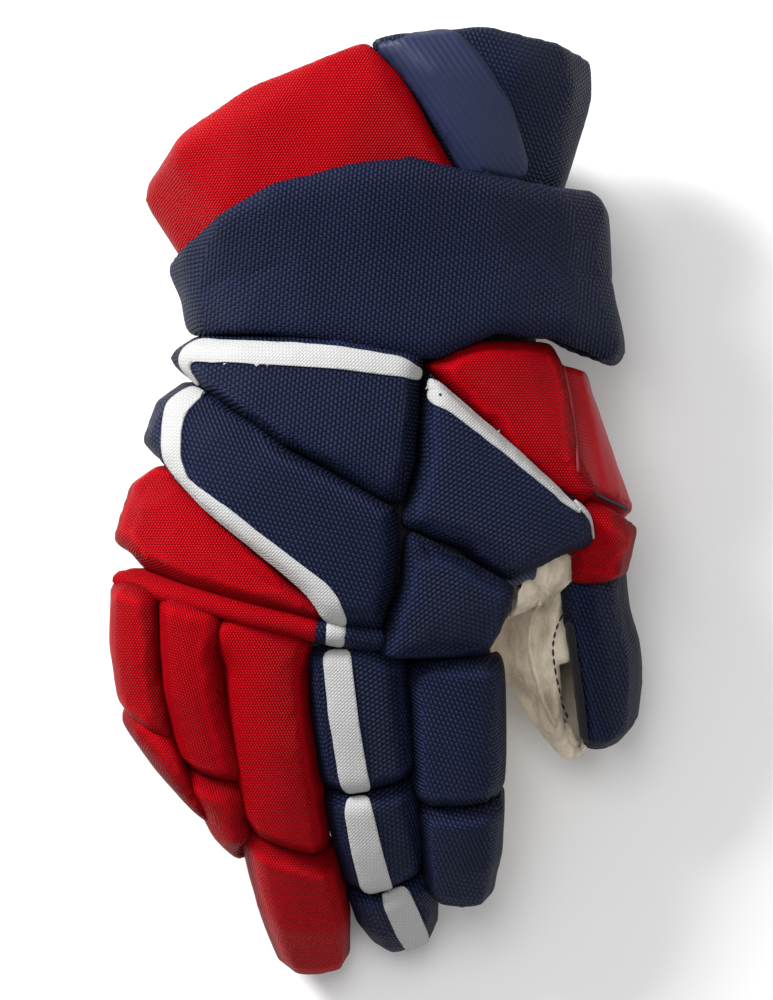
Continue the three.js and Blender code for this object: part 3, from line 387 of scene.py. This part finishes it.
def points(piece):
    mesh = piece.data
    places = np.empty(len(mesh.vertices) * 3, np.float32)
    mesh.vertices.foreach_get("co", places)
    normals = np.empty(len(mesh.vertices) * 3, np.float32)
    mesh.vertex_normals.foreach_get("vector", normals)
    return places.reshape(-1, 3), normals.reshape(-1, 3)


def setPoints(piece, places):
    piece.data.vertices.foreach_set("co", np.ascontiguousarray(places, np.float32).ravel())
    piece.data.update()


def smoothed(bm, verts, rounds):
    axes = {"use_axis_x": True, "use_axis_y": True, "use_axis_z": True}
    for _ in range(rounds):
        bmesh.ops.smooth_vert(bm, verts=verts, factor=0.5, **axes)


# Smooths a piece and pushes it back out by what that took away.
def eased(piece, rounds, outward):
    bm = bmesh.new()
    bm.from_mesh(piece.data)
    smoothed(bm, bm.verts[:], rounds)
    bm.to_mesh(piece.data)
    bm.free()
    places, normals = points(piece)
    setPoints(piece, places + normals * outward * mm)
    return piece


# Small unevenness, as of cloth over foam. height and size of its humps, in millimetres.
def uneven(piece, height, size, seed):
    places, normals = points(piece)
    shift = Vector((seed, 2 * seed, 0))
    heights = [noise.noise(Vector(place) / (size * mm) + shift) for place in places.tolist()]
    setPoints(piece, places + normals * np.array(heights)[:, None] * height * mm)
    return piece


def easyStep(share):
    share = np.clip(share, 0, 1)
    return share * share * (3 - 2 * share)


# Draws the end of a piece out towards its neighbour. axis 0 is across the glove and 1 along it, and end is
# 1 or -1, the end that moves. over: the stretch of the piece that gives way, in millimetres.
def drawnOut(piece, axis, end, distance, over):
    places, _ = points(piece)
    line = places[:, axis]
    limit = line.max() if end > 0 else line.min()
    places[:, axis] += end * distance * mm * easyStep(1 - np.abs(line - limit) / (over * mm))
    setPoints(piece, places)
    return piece


# Gives a pad its sloping rim. Its outer face rises over the rim's width and lies flat inside it.
# The side walls are where the surface turns away from the pad's mean outward direction.
def rimmed(piece, width, rise):
    ridgeHighlightWidth = 0.9
    upward = 0.25
    wallTurn = 0.35
    faceStart = 0.3
    places, normals = points(piece)
    outer = normals[normals[:, 2] > upward].mean(0)
    outer /= np.linalg.norm(outer)
    facing = normals @ outer
    walls = places[np.abs(facing) < wallTurn]
    tree = KDTree(len(walls))
    for number, place in enumerate(walls.tolist()):
        tree.insert(place, number)
    tree.balance()
    inward = np.array([tree.find(place)[2] for place in places.tolist()]) / (width * mm)
    share = np.clip((facing - faceStart) / faceStart, 0, 1)
    height = np.clip(inward, 0, 1) * share
    setPoints(piece, places + outer * height[:, None] * rise * mm)
    # Where the cloth gets painted shade on the rim and a painted highlight along the ridge inside it.
    values = {"rim": 1 - height, "ridge": np.exp(-((inward - 1) * width / ridgeHighlightWidth) ** 2) * share}
    for name, value in values.items():
        layer = piece.data.attributes.new(name, "FLOAT", "POINT")
        layer.data.foreach_set("value", value.astype(np.float32))
    return piece


# Pulls the part of a piece round one place, all of it above and below too.
def pulled(piece, spot, move, radius):
    places, _ = points(piece)
    gap = np.hypot(places[:, 0] - spot[0], places[:, 1] - spot[1]) / (radius * mm)
    places[:, :2] += easyStep(1 - gap)[:, None] * np.array(move) * mm
    setPoints(piece, places)
    return piece


def keepAboveFloor(piece):
    clearance = 0.02 * mm
    places, _ = points(piece)
    places[:, 2] = np.maximum(places[:, 2], clearance)
    setPoints(piece, places)
    return piece


def settle(piece, nodes):
    keepAboveFloor(piece)
    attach(piece, "root")
    if nodes:
        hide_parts(*nodes)
    return piece


def surfaceOf(*pieces):
    corners = []
    faces = []
    for piece in pieces:
        start = len(corners)
        corners += [vert.co.copy() for vert in piece.data.vertices]
        faces += [[start + corner for corner in face.vertices] for face in piece.data.polygons]
    return BVHTree.FromPolygons(corners, faces)


# Padded pieces: foam under cloth. Each takes the shape of its solid with softened edges, swells by the cap at
# most and gets slight humps, and all but the plain pads get a sloping rim. Lengths are in millimetres.
padShape = {
    "voxel": 1.5,
    "smoothing": 1,
    "grow": 0.3,
    "pressure": 4.0,
    "cap": 0.5,
    "humpHeight": 0.4,
    "humpSize": 17,
    "rimWidth": 6.0,
    "rimRise": 2.3,
    "finish": 0.08,
    "fill": 0.8,
}
plainPads = ["cuff_panel_red", "cuff_panel_navy", "cuff_panel_palm", "wrist_band", "side_panel_smooth"]
padColours = {
    "navy": (navyCloth, "navy_cloth"),
    "navySteep": (navySteep, "navy_cloth"),
    "navySlanted": (navySlanted, "navy_cloth"),
    "red": (redCloth, "red_cloth"),
    "redSteep": (redSteep, "red_cloth"),
    "smoothRed": (smoothRed, "smooth_red"),
}
padNodes = {
    "cuff_panel_red": "red",
    "cuff_panel_navy": "navy",
    "cuff_panel_palm": "navy",
    "wrist_band": "navySteep",
    "index_knuckle_pad": "navySlanted",
    "upper_roll": "navySteep",
    "lower_roll": "navy",
    "red_wedge": "red",
    "thumb_side_roll": "navySlanted",
    "thumb_side_red_pad": "red",
    "side_panel_smooth": "smoothRed",
    "side_panel_lower": "red",
    "middle_pad_upper": "navySlanted",
    "middle_pad_mid": "navySlanted",
    "middle_pad_lower": "navy",
    "index_pad_upper": "navy",
    "index_pad_lower": "navy",
    "ring_pad_upper": "red",
    "ring_pad_lower": "red",
    "pinky_pad_upper": "redSteep",
    "pinky_pad_lower": "redSteep",
    "pinky_side_roll_upper": "red",
    "pinky_side_roll_lower": "red",
    "thumb_pad": "navy",
}


def padName(node):
    words = node.split("_")
    return words[0] + "".join(word.capitalize() for word in words[1:])


# Blows the pieces up a little from inside, as foam does to its cloth. No point moves further than the cap.
clothSettings = {
    "quality": 4,
    "use_pressure": True,
    "mass": 0.3,
    "tension_stiffness": 15,
    "compression_stiffness": 15,
}
clothFrames = 20


def swollen(pieces, pressure, cap):
    scene = bpy.context.scene
    for piece in pieces:
        cloth = piece.modifiers.new("air", "CLOTH")
        for name, value in clothSettings.items():
            setattr(cloth.settings, name, value)
        cloth.settings.uniform_pressure_force = pressure
        cloth.settings.effector_weights.gravity = 0
        cloth.point_cache.frame_start = 1
        cloth.point_cache.frame_end = clothFrames
    for number in range(1, clothFrames + 1):
        scene.frame_set(number)
    graph = bpy.context.evaluated_depsgraph_get()
    for piece in pieces:
        shown = piece.evaluated_get(graph).to_mesh()
        ends = [vert.co.copy() for vert in shown.vertices]
        piece.evaluated_get(graph).to_mesh_clear()
        piece.modifiers.clear()
        for vert, end in zip(piece.data.vertices, ends):
            move = end - vert.co
            if move.length > cap * mm:
                move *= cap * mm / move.length
            vert.co += move
    scene.frame_set(1)


pads = {}
for node, colour in padNodes.items():
    pad = newObject(padName(node), meshOf(node), padColours[colour][0])
    evenMesh(pad, padShape["voxel"])
    pads[node] = eased(pad, padShape["smoothing"], padShape["grow"])

# Some pads reach further than their solids, under the roll or pad above them. Millimetres towards the cuff.
reaches = {
    "ring_pad_upper": 6,
    "middle_pad_upper": 2.5,
    "index_pad_upper": 2.5,
    "pinky_pad_upper": 5,
    "upper_roll": 2.5,
}
reachOver = 24
for node, distance in reaches.items():
    drawnOut(pads[node], 1, 1, distance, reachOver)

# The tapering pads on the pinky's outer side have round ends, and the cuff and the band have long curves.
softer = {
    "pinky_side_roll_lower": {"rounds": 9, "outward": 1.1},
    "pinky_pad_lower": {"rounds": 9, "outward": 1.1},
    "cuff_panel_red": {"rounds": 12, "outward": 0.6},
    "cuff_panel_navy": {"rounds": 12, "outward": 0.6},
    "cuff_panel_palm": {"rounds": 12, "outward": 0.6},
    "wrist_band": {"rounds": 12, "outward": 0.6},
}
for node, change in softer.items():
    eased(pads[node], change["rounds"], change["outward"])
thumbReach = {"distance": 6, "over": 30}
drawnOut(pads["thumb_pad"], 1, 1, thumbReach["distance"], thumbReach["over"])

# Corners that meet their neighbours. spot: in pixels of the photograph. move and radius: in millimetres.
pulls = [
    {"node": "ring_pad_upper", "spot": (232, 628), "move": (-5, 0), "radius": 16},
    {"node": "ring_pad_upper", "spot": (306, 640), "move": (4, 3), "radius": 14},
    {"node": "pinky_pad_upper", "spot": (212, 620), "move": (3, 2), "radius": 14},
    {"node": "thumb_pad", "spot": (640, 670), "move": (2.5, 0), "radius": 26},
    {"node": "red_wedge", "spot": (305, 608), "move": (5, -2), "radius": 12},
]
for pull in pulls:
    pulled(pads[pull["node"]], spotAt(*pull["spot"]), pull["move"], pull["radius"])
print("pads shaped")
swollen(list(pads.values()), padShape["pressure"], padShape["cap"])
print("pads swollen")
for number, (node, pad) in enumerate(pads.items()):
    uneven(pad, padShape["humpHeight"], padShape["humpSize"], number)
    if node not in plainPads:
        rimmed(pad, padShape["rimWidth"], padShape["rimRise"])
    refined(pad)
    eased(pad, 1, padShape["finish"])
    settle(pad, [node])
print("pads done")


# The roll across the knuckles, in four lengths.
knuckleNodes = {
    "knuckle_roll_red": (redCloth, "red_cloth"),
    "knuckle_roll_navy_inner": (navyCloth, "navy_cloth"),
    "knuckle_roll_white": (whiteCloth, "white_cloth"),
    "knuckle_roll_navy": (navyCloth, "navy_cloth"),
}
knuckleShape = {"voxel": 0.8, "rounds": 5, "outward": 1.9, "reach": 5, "over": 40, "fill": 0.9}
for node, (material, slot) in knuckleNodes.items():
    roll = evenMesh(newObject(padName(node), meshOf(node), material), knuckleShape["voxel"])
    eased(roll, knuckleShape["rounds"], knuckleShape["outward"])
    if node == "knuckle_roll_red":
        drawnOut(roll, 0, -1, knuckleShape["reach"], knuckleShape["over"])
    settle(roll, [node])
print("knuckle roll done")


# Linings and the palm: thin walls.
wallVoxel = 1.5
liningRounds = 3
backOutward = 0.2
cuffOutward = 0.1

# Between the fingers the back's lining fills out to meet its neighbour. width: in millimetres. below: the
# place along the glove where that starts. over: the stretch that it takes, both in metres.
fingerGusset = {"below": -0.052, "width": 3.2, "over": 0.01}
lining = evenMesh(newObject("backLining", meshOf("back_lining"), blackLining), wallVoxel)
eased(lining, liningRounds, backOutward)
places, normals = points(lining)
share = np.clip((fingerGusset["below"] - places[:, 1]) / fingerGusset["over"], 0, 1)
places[:, 0] += normals[:, 0] * fingerGusset["width"] * share * mm
setPoints(lining, places)
settle(lining, ["back_lining"])
cuffLining = evenMesh(newObject("cuffLining", meshOf("cuff_lining"), blackLining), wallVoxel)
settle(eased(cuffLining, liningRounds, cuffOutward), ["cuff_lining"])

# The palm's leather lies in soft folds, deepest round the root of the thumb. Millimetres: the height of a
# fold, its spacing along each axis, that of the bends it follows, and where the thumb's side starts and ends.
palmShape = {"rounds": 6, "outward": 0.3}
palmFolds = {
    "height": 1.5,
    "spacing": (13, 34, 15),
    "bends": (34, 60, 34),
    "bendDepth": 1.2,
    "sharpness": 2.6,
    "floor": -0.4,
    "middle": 0.3,
    "weak": 0.45,
    "stronger": 0.9,
    "thumbStart": 20,
    "thumbEnd": 55,
}


def shrunk(place, sizes):
    return Vector([part / size for part, size in zip(place, sizes)])


def foldHeight(x, y, z):
    bend = noise.noise(shrunk((x, y, z), palmFolds["bends"])) * palmFolds["bendDepth"]
    where = shrunk((x, y, z), palmFolds["spacing"]) + Vector((bend, 0, 0))
    ridge = 1 - abs(noise.noise(where)) * palmFolds["sharpness"]
    thumbSide = (x - palmFolds["thumbStart"]) / (palmFolds["thumbEnd"] - palmFolds["thumbStart"])
    strength = palmFolds["weak"] + palmFolds["stronger"] * min(max(thumbSide, 0), 1)
    return (max(ridge, palmFolds["floor"]) - palmFolds["middle"]) * strength


palm = evenMesh(newObject("palm", meshOf("palm_leather"), palmLeather), wallVoxel)
eased(palm, palmShape["rounds"], palmShape["outward"])
places, normals = points(palm)
heights = np.array([foldHeight(*place) for place in (places / mm).tolist()])
setPoints(palm, places + normals * heights[:, None] * palmFolds["height"] * mm)
settle(refined(palm), ["palm_leather"])
print("linings and palm done")


def smoothEdge(bm, rounds):
    beside = {}
    for edge in bm.edges:
        if edge.is_boundary:
            for vert in edge.verts:
                beside.setdefault(vert, []).append(edge.other_vert(vert))
    pairs = {vert: ends for vert, ends in beside.items() if len(ends) == 2}
    for _ in range(rounds):
        places = {vert: vert.co / 2 + (ends[0].co + ends[1].co) / 4 for vert, ends in pairs.items()}
        for vert, place in places.items():
            vert.co = place


# Moves a sheet's edge outwards in its own plane.
def widened(bm, distance):
    outward = {}
    for edge in bm.edges:
        if edge.is_boundary:
            first, second = edge.verts
            line = (second.co - first.co).normalized()
            away = (first.co + second.co) / 2 - edge.link_faces[0].calc_center_median()
            away = (away - line * away.dot(line)).normalized()
            for vert in edge.verts:
                outward[vert] = outward.get(vert, Vector()) + away
    for vert, away in outward.items():
        vert.co += away.normalized() * distance * mm


# Strips of cloth sewn on to a pad: the outer faces of the strip's solid, laid down on the pad's finished
# surface. Millimetres. sunk: how far the strip's underside reaches into the pad. mesh: the longest edge.
tapeShape = {"lift": 0.35, "thick": 0.5, "widen": 0.2, "sunk": 0.3, "mesh": 1.8}
stripShape = {"lift": 0.2, "thick": 0.4, "widen": 2.2, "sunk": 0.3, "mesh": 1.8}


def tape(node, padNode, material, shape):
    wallTurn = 0.3
    surface = surfaceOf(pads[padNode])
    bm = meshOf(node)
    walls = []
    for face in bm.faces:
        _, normal, _, _ = surface.find_nearest(face.calc_center_median())
        if face.normal.dot(normal) < wallTurn:
            walls.append(face)
    bmesh.ops.delete(bm, geom=walls, context="FACES")
    for _ in range(6):
        long = [edge for edge in bm.edges if edge.calc_length() > shape["mesh"] * mm]
        if not long:
            break
        bmesh.ops.subdivide_edges(bm, edges=long, cuts=1)
        bmesh.ops.triangulate(bm, faces=[face for face in bm.faces if len(face.verts) > 3])
    widened(bm, shape["widen"])
    smoothEdge(bm, 4)
    for vert in bm.verts:
        place, normal, _, _ = surface.find_nearest(vert.co)
        vert.co = place + normal * (shape["lift"] + shape["thick"]) * mm
    smoothEdge(bm, 2)
    smoothed(bm, [vert for vert in bm.verts if not vert.is_boundary], 2)
    strip = newObject(padName(node), bm, material)
    body = strip.modifiers.new("body", "SOLIDIFY")
    body.thickness = (shape["thick"] + shape["lift"] + shape["sunk"]) * mm
    body.offset = -1
    applied(strip)
    return settle(strip, [node])


tapes = {
    "upper_roll_stripe": "upper_roll",
    "lower_roll_stripe": "lower_roll",
    "thumb_side_stripe": "thumb_side_roll",
    "thumb_side_stripe_end": "thumb_side_roll",
    "middle_stripe_upper": "middle_pad_upper",
    "middle_stripe_mid": "middle_pad_mid",
    "middle_stripe_lower": "middle_pad_lower",
}
for node, padNode in tapes.items():
    tape(node, padNode, whiteCloth, tapeShape)
tape("cuff_smooth_strip", "cuff_panel_navy", smoothNavy, stripShape)
print("strips done")

# The cord along the web of the thumb.
cordShape = {"voxel": 0.6, "rounds": 6, "outward": 0.3}
cord = evenMesh(newObject("thumbWebCord", meshOf("thumb_web_cord"), navyCord), cordShape["voxel"])
settle(eased(cord, cordShape["rounds"], cordShape["outward"]), ["thumb_web_cord"])


# Seams and stitches follow a smooth curve through a few pixels of the photograph, dropped on the pieces.
dropHeight = 0.3


def curveAt(a, b, c, d, share):
    bend = (a * 2 - b * 5 + c * 4 - d) * share ** 2
    twist = (b * 3 - a - c * 3 + d) * share ** 3
    return (b * 2 + (c - a) * share + bend + twist) / 2


def route(pixels, step, *pieces):
    flat = [spotAt(x, y) for x, y in pixels]
    ends = [2 * flat[0] - flat[1], *flat, 2 * flat[-1] - flat[-2]]
    surface = surfaceOf(*pieces)
    found = []
    for i in range(1, len(ends) - 2):
        a, b, c, d = ends[i - 1:i + 3]
        count = max(2, round((c - b).length / (step * mm)))
        isLast = i == len(ends) - 3
        for j in range(count + isLast):
            above = Vector((*curveAt(a, b, c, d, j / count), dropHeight))
            place, normal, _, _ = surface.ray_cast(above, Vector((0, 0, -1)))
            if place:
                found.append((place, normal))
    return found


# A strand laid on a surface, thinner at its ends. sides: of its section. lift: its middle above the surface,
# as a share of its radius.
def strand(bm, places, radius, flatness=1.0, lift=0.3, sides=6):
    endShare = 0.45
    rings = []
    for i, (place, normal) in enumerate(places):
        ahead = places[min(i + 1, len(places) - 1)][0] - places[max(i - 1, 0)][0]
        side = ahead.cross(normal).normalized()
        taper = endShare if i in (0, len(places) - 1) else 1
        ring = []
        for k in range(sides):
            angle = 2 * math.pi * k / sides
            out = side * math.cos(angle) * radius + normal * (math.sin(angle) * flatness + lift) * radius
            ring.append(bm.verts.new(place + out * taper * mm))
        rings.append(ring)
    for first, second in zip(rings, rings[1:]):
        for k in range(sides):
            bm.faces.new((first[k], first[(k + 1) % sides], second[(k + 1) % sides], second[k]))
    bm.faces.new(rings[0][::-1])
    bm.faces.new(rings[-1])
    return bm


def seam(name, look, material, slot, *pieces):
    places = route(look["pixels"], 1.2, *pieces)
    bm = strand(bmesh.new(), places, look["radius"], look.get("flatness", 1.0), look.get("lift", 0.3), 8)
    return settle(newObject(name, bm, material), [])


# A stitch takes four places of the route, and the next one starts after a gap of one step.
def stitches(name, look, material, slot, *pieces):
    places = route(look["pixels"], look["length"] / 3, *pieces)
    bm = bmesh.new()
    for start in range(0, len(places) - 3, 4):
        strand(bm, places[start:start + 4], look["radius"])
    return settle(newObject(name, bm, material), [])


# The black insert between the palm and the thumb's pad.
insertLook = {
    "pixels": [(570, 622), (575, 655), (581, 695), (587, 742)],
    "radius": 2.6,
    "flatness": 0.35,
    "lift": 0.2,
}
seam("thumbInsert", insertLook, blackLining, "black_lining", palm, pads["thumb_pad"])

# The palm's stitch line, its tuck beside the thumb and the lip at the thumb's tip.
palmStitchLook = {
    "pixels": [(566, 606), (556, 632), (554, 655), (561, 695), (571, 722)],
    "length": 2.6,
    "radius": 0.42,
}
stitches("palmStitches", palmStitchLook, darkThread, "palm_leather", palm)
tuckLook = {"pixels": [(540, 600), (530, 640), (541, 690), (557, 728)], "radius": 1.0}
seam("palmTuck", tuckLook, palmLeather, "palm_leather", palm)
lipLook = {"pixels": [(566, 724), (574, 744), (588, 752)], "radius": 1.7}
seam("palmLip", lipLook, palmLeather, "palm_leather", palm)

# The crease of the red pad on the thumb's side.
creaseLook = {"pixels": [(556, 340), (566, 385), (573, 430), (576, 474)], "radius": 0.55}
seam("redPadCrease", creaseLook, redThread, "red_cloth", pads["thumb_side_red_pad"])

# The lower hem of the smooth side panel.
hemLook = {"pixels": [(593, 492), (606, 499), (620, 505), (632, 511)], "radius": 0.8}
seam("sideHem", hemLook, darkThread, "smooth_red", pads["side_panel_smooth"], pads["side_panel_lower"])
hemStitchLook = {"pixels": [(594, 486), (607, 493), (621, 499), (631, 503)], "length": 2.2, "radius": 0.3}
stitches("sideHemStitches", hemStitchLook, redThread, "smooth_red", pads["side_panel_smooth"])

# The tack at the end of the seam between the cuff's panels.
tackLook = {"pixels": [(374, 44), (378, 48), (383, 53)], "length": 2.4, "radius": 0.7}
cuffPads = [pads["cuff_panel_red"], pads["cuff_panel_navy"]]
stitches("cuffTack", tackLook, darkThread, "black_lining", *cuffPads)
print("seams and stitches done")


# Floor, light and camera.
floorSize = 6
bm = bmesh.new()
bmesh.ops.create_grid(bm, x_segments=4, y_segments=4, size=floorSize / 2)
floorPaint = Cloth("floorPaint")
floorTint = floorPaint.colours(floorPaint.noise(3.0), (0.86, 0.86, 0.87), (0.9, 0.9, 0.9))
floorPaint.link(floorTint, "Base Color")
floorPaint.shader.inputs["Roughness"].default_value = 0.9
floor = newObject("floor", bm, floorPaint.material)
floor.location.z = -0.3 * mm

world = bpy.data.worlds.new("studio")
world.use_nodes = True
skyInputs = world.node_tree.nodes["Background"].inputs
skyInputs["Color"].default_value = (1, 1, 1, 1)
skyInputs["Strength"].default_value = 0.45
bpy.context.scene.world = world
bpy.context.scene.view_settings.view_transform = "Standard"


# place and size in metres, power in watts. Each light looks at the middle of the glove.
gloveMiddle = Vector((0, 0, 0.05))


def softLight(name, place, size, power):
    light = bpy.data.lights.new(name, "AREA")
    light.shape = "RECTANGLE"
    light.size, light.size_y = size
    light.energy = power
    holder = bpy.data.objects.new(name, light)
    holder.location = place
    holder.rotation_euler = (gloveMiddle - Vector(place)).to_track_quat("-Z", "Y").to_euler()
    bpy.context.scene.collection.objects.link(holder)


softLight("keyLight", (-0.9, 0.85, 0.8), (0.45, 0.45), 34)
softLight("topLight", (-0.2, 0.4, 1.6), (0.8, 0.8), 10)
softLight("fillLight", (1.1, -0.3, 0.7), (0.6, 0.6), 2)

# The photograph looks straight down. Its frame is 773 by 1000, and it shows 365 mm from top to bottom.
shownHeight = 0.365
frameCentre = (0.0038, 0.0026)
cameraHeight = 2.3
sensor = 36.0
subjectHeight = 0.06
camera = bpy.data.objects.new("camera", bpy.data.cameras.new("camera"))
camera.data.sensor_width = sensor
camera.data.lens = sensor * (cameraHeight - subjectHeight) / shownHeight
camera.location = (*frameCentre, cameraHeight)
bpy.context.scene.collection.objects.link(camera)
bpy.context.scene.camera = camera
